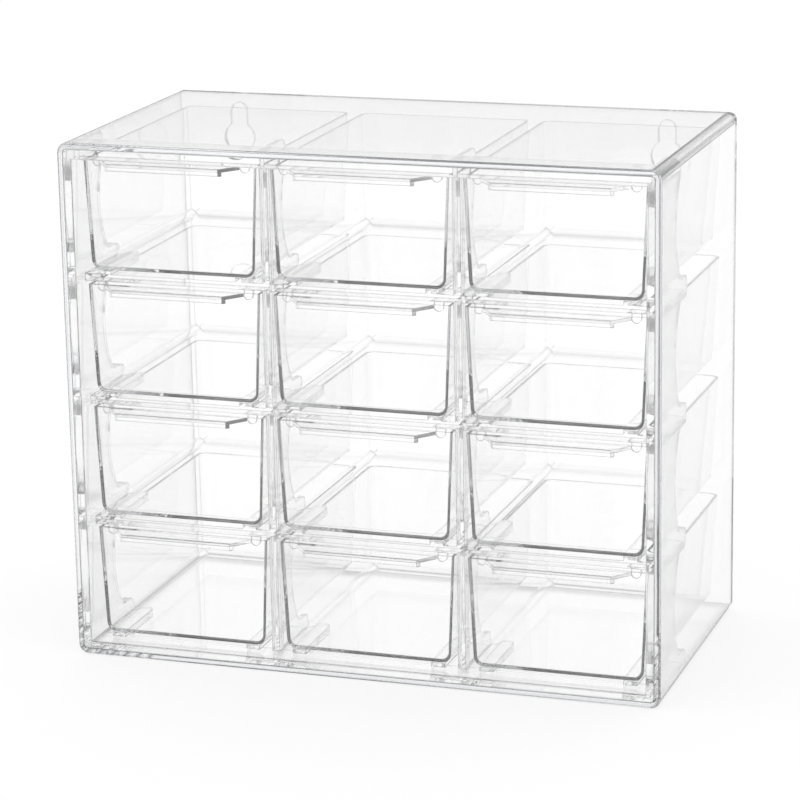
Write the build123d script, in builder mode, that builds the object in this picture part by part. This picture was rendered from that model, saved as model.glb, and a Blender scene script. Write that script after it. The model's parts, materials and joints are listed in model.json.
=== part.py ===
"""Clear desk organiser: an open-fronted case, a lattice frame in its mouth and twelve sliding drawers.

X runs to the right, Y to the back and Z up. The origin is under the middle of the case, on the surface
that it stands on. Every length is in millimetres.
"""
import os

from build123d import *

# Case: one moulding, open at the front.
case_width = 240.0
case_depth = 124.0
case_height = 208.0
case_wall = 2.4
case_edge_radius = 4.0      # long outer edges, front to back
case_rear_radius = 1.8      # outer edges round the back wall
case_rim_bevel = 0.6        # outer edge of the open mouth
inner_radius_least = 0.6    # the least radius left inside a thick wall

# Keyhole slots in the back wall, which hang the case on two screw heads.
keyhole_spacing = 183.4
keyhole_head_radius = 6.5
keyhole_slot_width = 7.0
keyhole_rise = 11.2         # from the middle of the head up to the middle of the slot's round end
keyhole_below_top = 9.8     # from the case top down to the middle of the slot's round end

# Front frame: a border ring and a lattice of bars, which sit in the mouth of the case.
columns = 3
rows = 4
frame_fit = 0.1             # gap between the ring and the case, all round
frame_side = 3.3            # width of the ring at the left and right
frame_sill = 2.8            # height of the ring at the bottom
frame_head = 4.0            # height of the ring at the top
frame_recess = 9.0          # from the front edge back to the face of the bars
frame_edge_radius = 0.5     # softened inner edge of the ring
bar_width = 3.2             # upright bars
bar_height = 3.0            # cross bars
bar_depth = 4.4             # upright bars and the ring behind the face of the bars
shelf_depth = 11.0          # cross bars behind the face of the bars

# Bracket plates behind the upright bars, with a wavy rear edge. Lengths run back from the face of the bars.
plate_thickness = 1.8
foot_length = 33.0          # the foot beside each runner
foot_height = 5.6           # the foot above the floor of its cell
foot_step = 10.0            # from the foot in to the shoulder of the curve
foot_radius = 2.4
waist_inset = 7.0           # depth of the hollow curve below its two shoulders
stub_radius = 3.6           # rear corner of the plate under the case top

# Runner tabs in the two lower corners of each cell.
runner_length = 31.0        # back from the face of the bars
runner_reach = 11.0         # from the face of the bar into the cell
runner_thickness = 1.6
rail_width = 5.6            # raised rail along the inner edge of the tab
rail_height = 1.6           # rail above the floor of the cell

# Stop tongues under the bar above each cell: the drawer's panel closes against them.
tongue_width = 3.9
tongue_drop = 4.2
tongue_thickness = 1.6
tongue_inset = 6.4          # from the side of the cell to the middle of the tongue

# Drawers. All twelve are alike.
panel_setback = 0.4         # drawer front behind the face of the bars
drawer_wall = 1.1
drawer_side_gap = 1.2       # between the drawer's top edge and the bar beside it
drawer_top_gap = 1.4        # between the drawer's top edge and the bar above it
drawer_rear_gap = 3.0       # between the drawer and the back wall of the case
drawer_run_gap = 0.2        # between the drawer and its rails
drawer_stop_gap = 0.3       # between the drawer's panel and its stop tongues
drawer_side_draft = 2.0     # how far each side leans in at its foot
drawer_rear_draft = 3.6     # how far the rear wall leans in at its foot
drawer_corner_radius = 4.0

# Pull lip along the top of the drawer's front.
lip_reach = 7.8             # in front of the panel
lip_thickness = 1.4
lip_drop = 2.9              # height of the lip's turned-down front edge
lip_root_inset = 6.8        # from the drawer's top corner to the root of the lip
lip_taper = 6.0             # how far each end of the lip draws in towards the front
lip_edge_radius = 0.5

cut_over = 1.0              # how far a cut runs past the faces that it opens

# Places that follow from the sizes above.
mouth_width = case_width - 2 * case_wall
mouth_height = case_height - 2 * case_wall
ring_width = mouth_width - 2 * frame_fit
ring_height = mouth_height - 2 * frame_fit
ring_base = case_wall + frame_fit
ring_middle = ring_base + ring_height / 2
cells_width = ring_width - 2 * frame_side
cells_height = ring_height - frame_sill - frame_head
cells_middle = ring_base + frame_sill + cells_height / 2
cell_width = (cells_width - (columns - 1) * bar_width) / columns
cell_height = (cells_height - (rows - 1) * bar_height) / rows
column_pitch = cell_width + bar_width
row_pitch = cell_height + bar_height
cell_centres = [(column - (columns - 1) / 2) * column_pitch for column in range(columns)]
cell_floors = [ring_base + frame_sill + row * row_pitch for row in range(rows)]
bar_centres = [(bar - columns / 2) * column_pitch for bar in range(1, columns)]
bars_y = -case_depth / 2 + frame_recess
case_inner_radius = max(case_edge_radius - case_wall, inner_radius_least)
ring_corner_radius = max(case_inner_radius - frame_fit, inner_radius_least)
foot_shoulder = foot_length - foot_step
plate_waist = foot_shoulder - waist_inset
panel_y = bars_y + panel_setback
tongue_y = panel_y + drawer_wall + drawer_stop_gap
drawer_top_width = cell_width - 2 * drawer_side_gap
drawer_height = cell_height - rail_height - drawer_run_gap - drawer_top_gap
drawer_depth = case_depth / 2 - case_wall - drawer_rear_gap - panel_y
drawer_inner_radius = max(drawer_corner_radius - drawer_wall, inner_radius_least)
lip_root_half = drawer_top_width / 2 - lip_root_inset


def back_from_front(depth):
    """The upright plane that lies the given depth behind the front edge of the case."""
    return Plane.XZ.offset(case_depth / 2 - depth)


def make_case():
    """The case: a box with rounded edges, hollowed from the front, with two keyholes behind."""
    with BuildPart() as round_back:
        with BuildSketch(back_from_front(0)):
            with Locations((0, case_height / 2)):
                Rectangle(case_width, case_height)
        extrude(amount=-case_depth)
        fillet(round_back.faces().sort_by(Axis.Y)[-1].edges(), case_rear_radius)
    with BuildPart() as case:
        with BuildSketch(back_from_front(0)):
            with Locations((0, case_height / 2)):
                RectangleRounded(case_width, case_height, case_edge_radius)
        extrude(amount=-case_depth)
        add(round_back.part, mode=Mode.INTERSECT)
        chamfer(case.faces().sort_by(Axis.Y)[0].edges(), case_rim_bevel)
        with BuildSketch(back_from_front(-cut_over)):
            with Locations((0, case_height / 2)):
                RectangleRounded(mouth_width, mouth_height, case_inner_radius)
        extrude(amount=-(case_depth - case_wall + cut_over), mode=Mode.SUBTRACT)
        with BuildSketch(back_from_front(case_depth - case_wall - cut_over)):
            slot_end = case_height - keyhole_below_top
            with Locations((-keyhole_spacing / 2, slot_end), (keyhole_spacing / 2, slot_end)):
                Circle(keyhole_slot_width / 2)
                Rectangle(keyhole_slot_width, keyhole_rise, align=(Align.CENTER, Align.MAX))
                with Locations((0, -keyhole_rise)):
                    Circle(keyhole_head_radius)
        extrude(amount=-(case_wall + 2 * cut_over), mode=Mode.SUBTRACT)
    return case.part


def make_lattice():
    """The border ring of the frame, with the upright bars and the cross bars between them."""
    with BuildPart() as lattice:
        with BuildSketch(back_from_front(0)):
            with Locations((0, ring_middle)):
                RectangleRounded(ring_width, ring_height, ring_corner_radius)
            with Locations((0, cells_middle)):
                Rectangle(cells_width, cells_height, mode=Mode.SUBTRACT)
        extrude(amount=-(frame_recess + bar_depth))
        ring_front = lattice.faces().sort_by(Axis.Y)[0]
        fillet(ring_front.inner_wires()[0].edges(), frame_edge_radius)
        with BuildSketch(back_from_front(frame_recess)):
            with Locations(*[(centre, cells_middle) for centre in bar_centres]):
                Rectangle(bar_width, cells_height)
        extrude(amount=-bar_depth)
        with BuildSketch(back_from_front(frame_recess)):
            with Locations(*[(0, floor) for floor in cell_floors[1:]]):
                Rectangle(cells_width, bar_height, align=(Align.CENTER, Align.MAX))
        extrude(amount=-shelf_depth)
    return lattice.part


def cell_profile(floor, bar_below):
    """Side view of a bracket plate beside one cell: a foot by the runner and a hollow curve above it."""
    ceiling = floor + cell_height
    shoulder = floor + foot_height
    with BuildSketch() as profile:
        with BuildLine():
            Polyline(
                (bars_y + foot_shoulder, ceiling),
                (bars_y, ceiling),
                (bars_y, floor - bar_below),
                (bars_y + foot_length, floor - bar_below),
                (bars_y + foot_length, shoulder),
                (bars_y + foot_shoulder, shoulder),
            )
            ThreePointArc(
                (bars_y + foot_shoulder, shoulder),
                (bars_y + plate_waist, (shoulder + ceiling) / 2),
                (bars_y + foot_shoulder, ceiling),
            )
        make_face()
        corners = profile.vertices().group_by(Axis.X)
        fillet(corners[-1], foot_radius)
        fillet(corners[1].sort_by(Axis.Y)[0], foot_radius)
    return profile.sketch


def stub_profile():
    """Side view of the top end of a bracket plate, under the case top."""
    with BuildSketch() as profile:
        with Locations((bars_y, cell_floors[-1] + cell_height)):
            Rectangle(foot_shoulder, frame_head, align=(Align.MIN, Align.MIN))
        fillet(profile.vertices().sort_by(Axis.Y)[-2:].sort_by(Axis.X)[-1], stub_radius)
    return profile.sketch


def plate_profile():
    """Side view of a whole bracket plate, from the case floor to the case top."""
    with BuildSketch() as profile:
        for row, floor in enumerate(cell_floors):
            add(cell_profile(floor, bar_height if row else frame_sill))
        add(stub_profile())
    return profile.sketch


def make_plates():
    """The bracket plates: thin behind the upright bars, as wide as the ring at the two sides."""
    profile = plate_profile()
    side_centre = (cells_width + frame_side) / 2
    plates = [(-side_centre, frame_side), (side_centre, frame_side)]
    plates += [(centre, plate_thickness) for centre in bar_centres]
    with BuildPart() as bracket_plates:
        for centre, thickness in plates:
            with BuildSketch(Plane.YZ.offset(centre)):
                add(profile)
            extrude(amount=thickness / 2, both=True)
    return bracket_plates.part


def make_runner(side):
    """A runner tab with its raised rail, for the left (-1) or right (1) lower corner of a cell.

    X zero is the face of the bar beside the cell, Y zero the face of the bars and Z zero the cell floor.
    """
    root_x = side * (bar_width - plate_thickness) / 2
    inner_x = -side * runner_reach
    rail_x = inner_x + side * rail_width
    rail_rear = runner_length - rail_width / 2
    with BuildPart() as runner:
        with BuildSketch(Plane.XY.offset(-runner_thickness)) as tab:
            with BuildLine():
                Polyline(
                    (root_x, 0),
                    (inner_x, 0),
                    (inner_x, runner_length),
                    (root_x, runner_length),
                    close=True,
                )
            make_face()
            rear_corners = tab.vertices().group_by(Axis.Y)[-1].sort_by(Axis.X)
            fillet(rear_corners[0 if side > 0 else -1], rail_width / 2)
        extrude(amount=runner_thickness)
        with BuildSketch(Plane.XY):
            with BuildLine():
                Polyline((inner_x, rail_rear), (inner_x, 0), (rail_x, 0), (rail_x, rail_rear))
                ThreePointArc(
                    (rail_x, rail_rear),
                    ((inner_x + rail_x) / 2, runner_length),
                    (inner_x, rail_rear),
                )
            make_face()
        extrude(amount=rail_height)
    return runner.part


def make_tongue():
    """A stop tongue with a round tip, which hangs down from Z zero."""
    with BuildPart() as tongue:
        with BuildSketch(Plane.XZ):
            straight = tongue_drop - tongue_width / 2
            Rectangle(tongue_width, straight, align=(Align.CENTER, Align.MAX))
            with Locations((0, -straight)):
                Circle(tongue_width / 2)
        extrude(amount=-tongue_thickness)
    return tongue.part


def make_frame():
    """The front frame: ring, bars, bracket plates, runner tabs and stop tongues, all one moulding."""
    with BuildPart() as frame:
        add(make_lattice())
        add(make_plates())
        for side in (-1, 1):
            sides = [centre + side * cell_width / 2 for centre in cell_centres]
            with Locations(*[(x, bars_y, floor) for x in sides for floor in cell_floors]):
                add(make_runner(side))
            tongue_places = [x - side * tongue_inset for x in sides]
            ceilings = [floor + cell_height for floor in cell_floors]
            with Locations(*[(x, tongue_y, ceiling) for x in tongue_places for ceiling in ceilings]):
                add(make_tongue())
        # The plates and tabs behind the ring keep to the ring's rounded outline
        with BuildSketch(back_from_front(-cut_over)):
            with Locations((0, ring_middle)):
                RectangleRounded(ring_width, ring_height, ring_corner_radius)
        extrude(amount=-(frame_recess + foot_length + 2 * cut_over), mode=Mode.INTERSECT)
    return frame.part


def half_width_at(height):
    """Half the outer width of a drawer at a height above its foot."""
    return drawer_top_width / 2 - drawer_side_draft * (1 - height / drawer_height)


def rear_at(height):
    """Distance from a drawer's front to the outside of its rear wall, at a height above its foot."""
    return drawer_depth - drawer_rear_draft * (1 - height / drawer_height)


def tapered_block(inset, base, top):
    """The tapered block of a tray, drawn in by an even inset, between two heights."""
    with BuildPart() as block:
        with BuildSketch(Plane.XZ):
            with BuildLine():
                Polyline(
                    (inset - half_width_at(base), base),
                    (half_width_at(base) - inset, base),
                    (half_width_at(top) - inset, top),
                    (inset - half_width_at(top), top),
                    close=True,
                )
            make_face()
        extrude(amount=-rear_at(top))
        with BuildSketch(Plane.YZ):
            with BuildLine():
                Polyline(
                    (inset, base),
                    (rear_at(base) - inset, base),
                    (rear_at(top) - inset, top),
                    (inset, top),
                    close=True,
                )
            make_face()
        extrude(amount=half_width_at(top), both=True, mode=Mode.INTERSECT)
    return block.part


def tray_form(inset, base, top, radius):
    """A tray's form: round along its foot and up its rear corners, sharp round its front panel."""
    block = tapered_block(inset, base, top)
    with BuildPart() as round_foot:
        add(block)
        foot_face = round_foot.faces().sort_by(Axis.Z)[0]
        fillet(foot_face.edges().sort_by(Axis.Y)[1:], radius)
    with BuildPart() as form:
        add(block)
        rear_face = form.faces().sort_by(Axis.Y)[-1]
        fillet(rear_face.edges().sort_by(Axis.Z)[1:-1], radius)
        add(round_foot.part, mode=Mode.INTERSECT)
    return form.part


def make_lip():
    """The pull lip: a shelf with a turned-down front edge, narrower towards the front."""
    with BuildPart() as lip:
        with BuildSketch(Plane.YZ):
            with BuildLine():
                Polyline(
                    (drawer_wall / 2, drawer_height),
                    (-lip_reach, drawer_height),
                    (-lip_reach, drawer_height - lip_drop),
                    (-lip_reach + lip_thickness, drawer_height - lip_drop),
                    (-lip_reach + lip_thickness, drawer_height - lip_thickness),
                    (drawer_wall / 2, drawer_height - lip_thickness),
                    close=True,
                )
            make_face()
        extrude(amount=lip_root_half, both=True)
        fillet(lip.edges().filter_by(Axis.X).group_by(Axis.Y)[0], lip_edge_radius)
        with BuildSketch(Plane.XY.offset(drawer_height + cut_over)):
            with BuildLine():
                Polyline(
                    (-lip_root_half, drawer_wall),
                    (-lip_root_half, 0),
                    (-lip_root_half + lip_taper, -lip_reach),
                    (lip_root_half - lip_taper, -lip_reach),
                    (lip_root_half, 0),
                    (lip_root_half, drawer_wall),
                    close=True,
                )
            make_face()
        extrude(amount=-(lip_drop + 2 * cut_over), mode=Mode.INTERSECT)
    return lip.part


def make_drawer():
    """A drawer: an open tray with its front panel at Y zero, its foot at Z zero and a pull lip."""
    with BuildPart() as drawer:
        add(tray_form(0, 0, drawer_height, drawer_corner_radius))
        hollow = tray_form(drawer_wall, drawer_wall, drawer_height + cut_over, drawer_inner_radius)
        add(hollow, mode=Mode.SUBTRACT)
        add(make_lip())
    return drawer.part


os.makedirs("parts", exist_ok=True)

with BuildPart() as case_shell:
    add(make_case())
case_shell.part.label = "case_shell"
export_step(case_shell.part, "parts/case_shell.step")

with BuildPart() as front_frame:
    add(make_frame())
front_frame.part.label = "front_frame"
export_step(front_frame.part, "parts/front_frame.step")

drawer_model = make_drawer()
for row, floor in enumerate(reversed(cell_floors), start=1):
    for column, centre in enumerate(cell_centres, start=1):
        with BuildPart() as drawer:
            with Locations((centre, panel_y, floor + rail_height + drawer_run_gap)):
                add(drawer_model)
        drawer.part.label = f"drawer_r{row}c{column}"
        export_step(drawer.part, f"parts/{drawer.part.label}.step")
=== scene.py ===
import json
import math

import bpy
from mathutils import Matrix, Vector


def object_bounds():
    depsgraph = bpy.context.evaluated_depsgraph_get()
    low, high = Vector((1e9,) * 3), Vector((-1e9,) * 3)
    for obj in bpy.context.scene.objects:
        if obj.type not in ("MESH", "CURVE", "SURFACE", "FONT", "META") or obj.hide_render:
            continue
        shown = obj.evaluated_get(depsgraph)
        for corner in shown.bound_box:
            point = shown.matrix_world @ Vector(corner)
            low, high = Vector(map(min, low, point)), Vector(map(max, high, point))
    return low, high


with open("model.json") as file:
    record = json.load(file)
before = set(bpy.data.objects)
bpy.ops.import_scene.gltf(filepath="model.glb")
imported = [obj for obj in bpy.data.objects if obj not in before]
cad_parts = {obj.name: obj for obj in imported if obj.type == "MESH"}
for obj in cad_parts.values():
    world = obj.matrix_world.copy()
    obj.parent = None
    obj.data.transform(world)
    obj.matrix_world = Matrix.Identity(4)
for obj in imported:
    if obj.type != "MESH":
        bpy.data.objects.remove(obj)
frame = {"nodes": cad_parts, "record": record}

cad_low, cad_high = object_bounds()

# Camera, as the photograph was taken
CAMERA_AZIMUTH = math.radians(18.699)
CAMERA_ELEVATION = math.radians(15.153)
CAMERA_ROLL = math.radians(-1.023)
CAMERA_DISTANCE = 1.315
CAMERA_LENS_MM = 148.07
CAMERA_SHIFT_RIGHT = -0.00264
CAMERA_SHIFT_UP = -0.00657

# Floor
FLOOR_HALF = 6.0
FLOOR_GAP = 0.0003          # air film under the case
FLOOR_GREY = 0.22           # what the floor gives back of the studio's light
FLOOR_LIFT = 0.82           # glow that brings the open floor up to white
FLOOR_LIFT_SEEN = 0.89      # the same for the floor as the plastic shows it
UNDER_LIGHT = 0.11          # painted light that brings the shaded floor under the object back to about white
UNDER_INSET = 0.004         # from the outline of the object to the edge of that patch
UNDER_SOFT = 0.004
CONTACT_SHADE = 0.32        # painted contact shadow, taken from the floor right under the walls
CONTACT_OVER = 0.001        # how far the contact shade reaches out

# Studio: white all round, with dark parts that only the plastic sees. Heights are sines of the elevation.
WHITE = (1.0, 1.0, 1.0, 1.0)
CEILING_START = 0.32        # where the white walls begin to fade
CEILING_FULL = 0.60         # where they are as dim as the ceiling
CEILING_LIGHT = 0.15
HORIZON_START = 0.05        # where the low dark band begins to fade
HORIZON_FULL = 0.22         # where it is gone
HORIZON_LIGHT = 0.45
CARD_HEADING = math.radians(22)     # from straight left or right to the middle of a dark card
CARD_HALF = math.radians(12)
CARD_SOFT = math.radians(2)
CARD_LIGHT = 0.22
CARD_NEAR = 0.24            # on the floor the cards fade in between these distances from the middle
CARD_FAR = 0.30

# Plastic
PLASTIC_IOR = 1.58
EDGE_SHADE_IOR = 1.0              # the painted shade lines along the edges mirror nothing
BODY_COLOUR = (0.60, 0.62, 0.66, 1.0)
GRAZE_START = 0.35          # how far a wall turns from the eye before painted shade deepens its tint
GRAZE_FULL = 0.75
BEVEL_SAMPLES = 4
WAVE_DETAIL = 2.0
WAVE_ROUGHNESS = 0.45
POLISH_SCALE = 9            # how much finer the polish is than the flow waves
POLISH_DETAIL = 3.0
POLISH_ROUGHNESS = 0.55

# Light paths
CLEAR_BOUNCES = 96          # light runs far inside the walls before it leaves
FLOOR_BOUNCES = 2

# Sockets of a Mix node that mixes colours
COLOUR_A = 6
COLOUR_B = 7
COLOUR_RESULT = 2


def make_camera():
    """The camera at the photograph's viewing angle, aimed near the middle of the object."""
    azimuth, elevation, roll = CAMERA_AZIMUTH, CAMERA_ELEVATION, CAMERA_ROLL
    back = Vector((
        math.sin(azimuth) * math.cos(elevation),
        -math.cos(azimuth) * math.cos(elevation),
        math.sin(elevation),
    ))
    level_right = Vector((math.cos(azimuth), math.sin(azimuth), 0.0))
    level_up = back.cross(level_right)
    right = level_right * math.cos(roll) + level_up * math.sin(roll)
    up = back.cross(right)
    place = (cad_low + cad_high) / 2
    place += back * CAMERA_DISTANCE + right * CAMERA_SHIFT_RIGHT + up * CAMERA_SHIFT_UP
    data = bpy.data.cameras.new("camera")
    data.lens = CAMERA_LENS_MM
    camera = bpy.data.objects.new("camera", data)
    turn = Matrix((right, up, back)).transposed().to_4x4()
    camera.matrix_world = Matrix.Translation(place) @ turn
    bpy.context.scene.collection.objects.link(camera)
    bpy.context.scene.camera = camera


class Nodes:
    """A short way to write a node tree."""

    def __init__(self, tree):
        self.tree = tree
        tree.nodes.clear()

    def put(self, socket, value):
        """Links a socket to another one, or sets it to a plain value."""
        if isinstance(value, bpy.types.NodeSocket):
            self.tree.links.new(value, socket)
        else:
            socket.default_value = value

    def add(self, kind, settings=None, **inputs):
        """A node with its settings, and with its inputs by name, written with _ for a space."""
        node = self.tree.nodes.new(kind)
        for name, value in (settings or {}).items():
            setattr(node, name, value)
        for name, value in inputs.items():
            self.put(node.inputs[name.replace("_", " ")], value)
        return node

    def math(self, operation, first, second=0.0):
        node = self.add("ShaderNodeMath", {"operation": operation})
        self.put(node.inputs[0], first)
        self.put(node.inputs[1], second)
        return node.outputs[0]

    def ramp(self, value, start, end, low, high, shape="LINEAR"):
        """low up to the start, high from the end on, and a ramp between them."""
        node = self.add(
            "ShaderNodeMapRange",
            {"interpolation_type": shape},
            Value=value,
            From_Min=start,
            From_Max=end,
            To_Min=low,
            To_Max=high,
        )
        return node.outputs["Result"]

    def mix(self, factor, first, second):
        """A number between two numbers."""
        node = self.add("ShaderNodeMix", {"data_type": "FLOAT"}, Factor=factor, A=first, B=second)
        return node.outputs["Result"]

    def mix_colours(self, factor, first, second):
        node = self.add("ShaderNodeMix", {"data_type": "RGBA"}, Factor=factor)
        self.put(node.inputs[COLOUR_A], first)
        self.put(node.inputs[COLOUR_B], second)
        return node.outputs[COLOUR_RESULT]

    def axes(self, vector):
        """The X, Y and Z sockets of a vector."""
        return self.add("ShaderNodeSeparateXYZ", Vector=vector).outputs


def card_shade(nodes, x, y):
    """1 in the open studio, less at the headings of the four dark cards at its sides."""
    heading = nodes.math("ARCTAN2", nodes.math("ABSOLUTE", y), nodes.math("ABSOLUTE", x))
    off_middle = nodes.math("ABSOLUTE", nodes.math("SUBTRACT", heading, CARD_HEADING))
    return nodes.ramp(off_middle, CARD_HALF - CARD_SOFT, CARD_HALF + CARD_SOFT, CARD_LIGHT, 1.0, "SMOOTHSTEP")


def make_world():
    """A white studio for the eye and the floor.

    The plastic sees it with a dim ceiling, a low dark band and four dark cards, which draw its edges.
    """
    world = bpy.data.worlds.new("studio")
    world.use_nodes = True
    nodes = Nodes(world.node_tree)
    axes = nodes.axes(nodes.add("ShaderNodeTexCoord").outputs["Generated"])
    ceiling = nodes.ramp(axes["Z"], CEILING_START, CEILING_FULL, 1.0, CEILING_LIGHT, "SMOOTHSTEP")
    horizon = nodes.ramp(axes["Z"], HORIZON_START, HORIZON_FULL, HORIZON_LIGHT, 1.0, "SMOOTHSTEP")
    shade = card_shade(nodes, axes["X"], axes["Y"])
    shade = nodes.math("MULTIPLY", shade, ceiling)
    shade = nodes.math("MULTIPLY", shade, horizon)
    ray = nodes.add("ShaderNodeLightPath").outputs
    plain = nodes.math("MAXIMUM", ray["Is Camera Ray"], ray["Is Diffuse Ray"])
    light = nodes.add("ShaderNodeBackground", Color=WHITE, Strength=nodes.mix(plain, shade, 1.0))
    nodes.add("ShaderNodeOutputWorld", Surface=light.outputs[0])
    bpy.context.scene.world = world


def inside(nodes, axes, inset, soft):
    """1 over the middle of the object's footprint and 0 outside it, less an inset."""
    masks = []
    for axis, half in (("X", cad_high.x), ("Y", cad_high.y)):
        off_middle = nodes.math("ABSOLUTE", axes[axis])
        masks.append(nodes.ramp(off_middle, half - inset - soft, half - inset, 1.0, 0.0))
    return nodes.math("MULTIPLY", *masks)


def floor_shade(nodes):
    """How the plastic sees the floor: 1 in the open, less at the cards, with painted light under the object
    and painted shadow under its walls.
    """
    place = nodes.add("ShaderNodeTexCoord").outputs["Object"]
    axes = nodes.axes(place)
    away = nodes.add("ShaderNodeVectorMath", {"operation": "LENGTH"}, Vector=place)
    near = nodes.ramp(away.outputs["Value"], CARD_NEAR, CARD_FAR, 1.0, 0.0)
    shade = nodes.math("MAXIMUM", card_shade(nodes, axes["X"], axes["Y"]), near)
    # painted light under the object, and a painted contact shadow in a ring under its walls
    under = inside(nodes, axes, UNDER_INSET, UNDER_SOFT)
    contact = nodes.math("SUBTRACT", inside(nodes, axes, -CONTACT_OVER, CONTACT_OVER), under)
    shade = nodes.math("ADD", shade, nodes.math("MULTIPLY", under, UNDER_LIGHT))
    return nodes.math("SUBTRACT", shade, nodes.math("MULTIPLY", contact, CONTACT_SHADE))


def floor_paper():
    """Pale paper that keeps the object's shadow, with a glow that brings the open floor up to white."""
    material = bpy.data.materials.new("floor_paper")
    material.use_nodes = True
    nodes = Nodes(material.node_tree)
    shade = floor_shade(nodes)
    ray = nodes.add("ShaderNodeLightPath").outputs
    plastic = nodes.math("MAXIMUM", ray["Is Glossy Ray"], ray["Is Transmission Ray"])
    level = nodes.math("MULTIPLY", nodes.mix(plastic, 1.0, shade), FLOOR_GREY)
    paper = nodes.add("ShaderNodeBsdfDiffuse", Color=level)
    lift = nodes.math("MULTIPLY", nodes.math("MULTIPLY", plastic, shade), FLOOR_LIFT_SEEN)
    lift = nodes.math("ADD", lift, nodes.math("MULTIPLY", ray["Is Camera Ray"], FLOOR_LIFT))
    glow = nodes.add("ShaderNodeEmission", Color=WHITE, Strength=lift)
    both = nodes.add("ShaderNodeAddShader")
    nodes.put(both.inputs[0], paper.outputs[0])
    nodes.put(both.inputs[1], glow.outputs[0])
    nodes.add("ShaderNodeOutputMaterial", Surface=both.outputs[0])
    return material


def make_floor():
    """A plain pale floor under the object."""
    mesh = bpy.data.meshes.new("floor")
    signs = ((-1, -1), (1, -1), (1, 1), (-1, 1))
    corners = [(x * FLOOR_HALF, y * FLOOR_HALF, -FLOOR_GAP) for x, y in signs]
    mesh.from_pydata(corners, [], [(0, 1, 2, 3)])
    floor = bpy.data.objects.new("floor", mesh)
    bpy.context.scene.collection.objects.link(floor)
    mesh.materials.append(floor_paper())


def grey(level):
    """A plain grey."""
    return (level, level, level, 1.0)


def painted_edge_shade(nodes, normal, width, full, end):
    """Painted shade: 1 along the edges of a piece and 0 on its faces, from how far a softened normal leans
    there.
    """
    softened = nodes.add("ShaderNodeBevel", {"samples": BEVEL_SAMPLES}, Radius=width)
    lean = nodes.add("ShaderNodeVectorMath", {"operation": "DOT_PRODUCT"})
    nodes.put(lean.inputs[0], softened.outputs["Normal"])
    nodes.put(lean.inputs[1], normal)
    return nodes.ramp(nodes.math("ABSOLUTE", lean.outputs["Value"]), full, end, 1.0, 0.0)


def tint_with_painted_shade(nodes, geometry, tint, height_shade_tint, side_shade_tint):
    """The tint of a wall seen straight on, and painted shade that deepens it on a wall seen along it: a tint
    of its own on a side wall, and on a level wall one that runs from the foot to the top of the object.
    """
    facing = nodes.add("ShaderNodeLayerWeight").outputs["Facing"]
    turned = nodes.ramp(facing, GRAZE_START, GRAZE_FULL, 0.0, 1.0)
    sideways = nodes.math("ABSOLUTE", nodes.axes(geometry["True Normal"])["X"])
    height = nodes.axes(geometry["Position"])["Z"]
    flat = nodes.ramp(height, cad_low.z, cad_high.z, *height_shade_tint)
    along = nodes.mix_colours(sideways, flat, grey(side_shade_tint))
    return nodes.mix_colours(turned, grey(tint), along)


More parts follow.
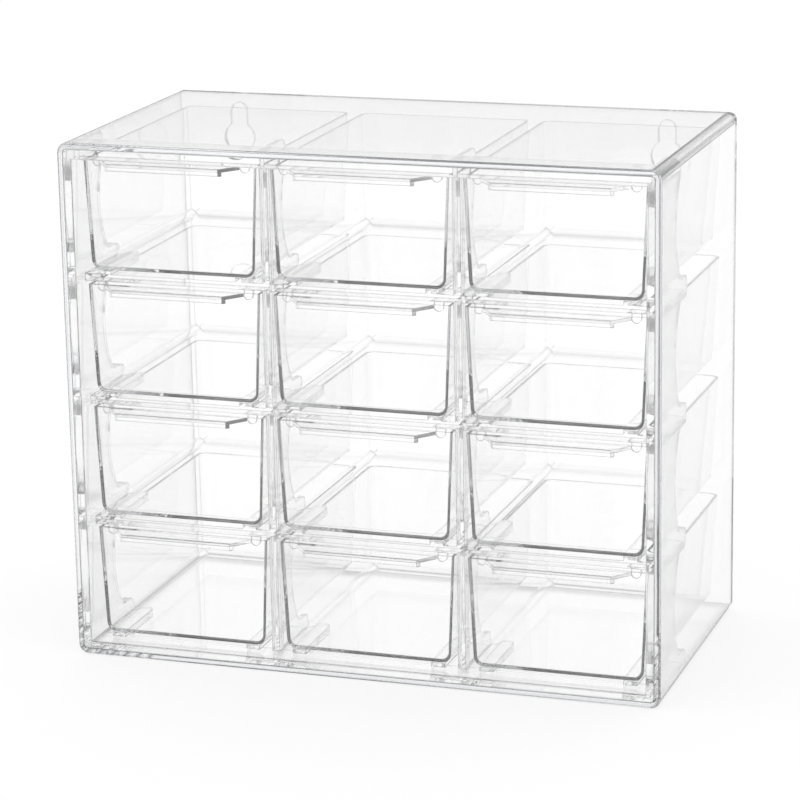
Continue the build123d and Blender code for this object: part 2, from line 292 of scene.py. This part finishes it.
def clear_plastic(name, tint, height_shade_tint, side_shade_tint, gloss, absorb, edge, edge_shade_tint, flow, haze):
    """Clear moulded polystyrene: faint flow waves, an uneven polish and painted shade in dark lines along its
    edges.

    tint is what a wall lets through seen straight on. The side tint is painted shade: how dark a side wall is
    seen along it. The flat tint is the same painted shade for level walls, at the foot and at the top of the
    object.
    gloss is what a wall mirrors and absorb how fast its body darkens.
    edge is the width of the painted shade lines, and the lean of the softened normal where they are full and
    where they end. The edge tint is the dark grey of that painted shade.
    flow is the scale and depth of the waves, haze the least and most roughness.
    """
    material = bpy.data.materials.new(name)
    material.use_nodes = True
    nodes = Nodes(material.node_tree)
    geometry = nodes.add("ShaderNodeNewGeometry").outputs
    place = nodes.add("ShaderNodeTexCoord").outputs["Object"]
    wave = nodes.add(
        "ShaderNodeTexNoise",
        Vector=place,
        Scale=flow[0],
        Detail=WAVE_DETAIL,
        Roughness=WAVE_ROUGHNESS,
    )
    fine = nodes.add(
        "ShaderNodeTexNoise",
        Vector=place,
        Scale=flow[0] * POLISH_SCALE,
        Detail=POLISH_DETAIL,
        Roughness=POLISH_ROUGHNESS,
    )
    bump = nodes.add("ShaderNodeBump", Height=wave.outputs["Fac"], Strength=1.0, Distance=flow[1])
    # Painted shade: a dark tint along the edges, where the surface also mirrors nothing
    edge_shade = painted_edge_shade(nodes, geometry["True Normal"], *edge)
    # Painted shade: the tint deepens on walls seen along them, on side walls, and on level walls by height
    shaded_tint = tint_with_painted_shade(nodes, geometry, tint, height_shade_tint, side_shade_tint)
    surface = nodes.add(
        "ShaderNodeBsdfPrincipled",
        Base_Color=nodes.mix_colours(edge_shade, shaded_tint, grey(edge_shade_tint)),
        Specular_Tint=grey(gloss),
        Roughness=nodes.ramp(fine.outputs["Fac"], 0.0, 1.0, *haze),
        IOR=nodes.mix(edge_shade, PLASTIC_IOR, EDGE_SHADE_IOR),
        Transmission_Weight=1.0,
        Normal=bump.outputs["Normal"],
    )
    body = nodes.add("ShaderNodeVolumeAbsorption", Color=BODY_COLOUR, Density=absorb)
    nodes.add("ShaderNodeOutputMaterial", Surface=surface.outputs[0], Volume=body.outputs[0])
    return material


def dress(node, material):
    """Gives a CAD node its finish."""
    mesh = frame["nodes"][node].data
    mesh.materials.clear()
    mesh.materials.append(material)


make_camera()
make_world()
make_floor()
slots = {piece["node"]: piece["material_slot"] for piece in frame["record"]["subparts"]}
# Each finish's side, flat and edge tints are painted shade
finishes = {
    "clear_case": clear_plastic(
        "clear_case",
        tint=0.99,
        height_shade_tint=(1.0, 0.79),
        side_shade_tint=0.77,
        gloss=0.995,
        absorb=2.8,
        edge=(0.0004, 0.992, 0.9995),
        edge_shade_tint=0.10,
        flow=(22.0, 0.00003),
        haze=(0.0, 0.02),
    ),
    "clear_frame": clear_plastic(
        "clear_frame",
        tint=1.0,
        height_shade_tint=(1.0, 1.0),
        side_shade_tint=0.78,
        gloss=1.0,
        absorb=2.0,
        edge=(0.0005, 0.92, 0.995),
        edge_shade_tint=0.30,
        flow=(60.0, 0.00001),
        haze=(0.0, 0.03),
    ),
    "clear_drawer": clear_plastic(
        "clear_drawer",
        tint=1.0,
        height_shade_tint=(1.0, 0.93),
        side_shade_tint=0.85,
        gloss=1.0,
        absorb=1.5,
        edge=(0.00024, 0.975, 0.998),
        edge_shade_tint=0.09,
        flow=(30.0, 0.00004),
        haze=(0.0, 0.02),
    ),
}
for node, slot in slots.items():
    dress(node, finishes[slot])

scene = bpy.context.scene
scene.view_settings.view_transform = "Standard"
scene.cycles.max_bounces = CLEAR_BOUNCES
scene.cycles.transmission_bounces = CLEAR_BOUNCES
scene.cycles.glossy_bounces = CLEAR_BOUNCES
scene.cycles.diffuse_bounces = FLOOR_BOUNCES
